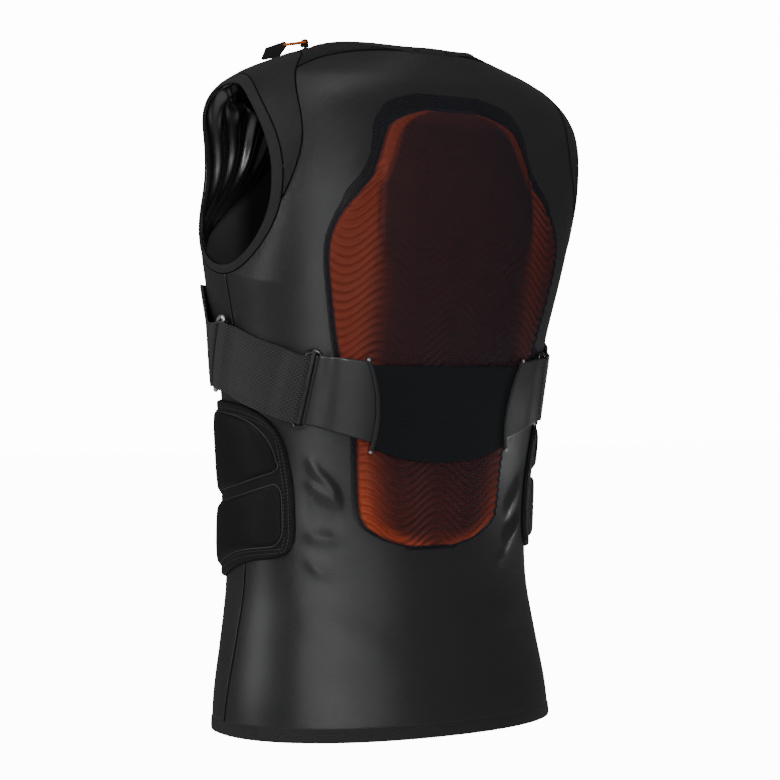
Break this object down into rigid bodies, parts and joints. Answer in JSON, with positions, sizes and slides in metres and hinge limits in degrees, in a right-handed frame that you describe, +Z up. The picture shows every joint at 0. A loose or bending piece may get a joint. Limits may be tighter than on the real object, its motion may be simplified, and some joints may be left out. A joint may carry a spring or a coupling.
{
  "type": "body protector",
  "caption": "Sleeveless stretch vest with a moulded back pad in a sheer pocket, a kidney belt with ring adjusters, padded flanks and front zips, in the form it has when worn.",
  "frame": {"origin": "middle of the line across both shoulders on which the vest rests when it is worn", "axes": "+Z up along the wearer's spine, +Y behind the wearer, +X to the wearer's left"},
  "size_m": [0.371, 0.2862, 0.6719],
  "materials": {
    "mesh_cloth": "matt black stretch mesh",
    "smooth_cloth": "matt black smooth stretch cloth",
    "edging": "matt black folded elastic edging",
    "pad_foam": "orange moulded foam",
    "sheer_cloth": "sheer black net",
    "laminate": "satin black laminated cloth",
    "elastic": "matt black knitted elastic",
    "dark_metal": "dark plated wire",
    "bright_metal": "bright plated wire",
    "black_rubber": "satin black rubber",
    "orange_coating": "satin orange coated cord",
    "lining": "glossy black lining"
  },
  "bodies": {
    "root": {"hem_band": "edging", "neck_binding": "edging", "back_panel": "mesh_cloth", "front_panel": "mesh_cloth", "chest_lining": "lining", "back_pad": "pad_foam", "pad_cover": "sheer_cloth", "belt_back_panel": "smooth_cloth", "armhole_binding_left": "edging", "armhole_binding_right": "edging", "front_side_panel_left": "mesh_cloth", "front_side_panel_right": "mesh_cloth", "zip_left": "black_rubber", "zip_right": "black_rubber", "yoke_left": "smooth_cloth", "yoke_right": "smooth_cloth", "shoulder_panel_left": "smooth_cloth", "shoulder_panel_right": "smooth_cloth", "belt_wing_left": "laminate", "belt_wing_right": "laminate", "belt_rib_left": "black_rubber", "belt_rib_right": "black_rubber", "rear_ring_left": "dark_metal", "rear_ring_right": "dark_metal", "side_ring_left": "bright_metal", "side_ring_right": "bright_metal", "side_strap_left": "elastic", "side_strap_right": "elastic", "front_strap_left": "elastic", "front_strap_right": "elastic", "flank_pad_left": "mesh_cloth", "flank_pad_right": "mesh_cloth", "flank_cell_lower_left": "smooth_cloth", "flank_cell_lower_right": "smooth_cloth", "flank_cell_upper_left": "smooth_cloth", "flank_cell_upper_right": "smooth_cloth", "zip_slider_left": "dark_metal", "zip_slider_right": "dark_metal", "pull_tab_left": "black_rubber", "pull_tab_right": "black_rubber", "pull_link_left": "orange_coating", "pull_link_right": "orange_coating"}
  },
  "joints": []
}
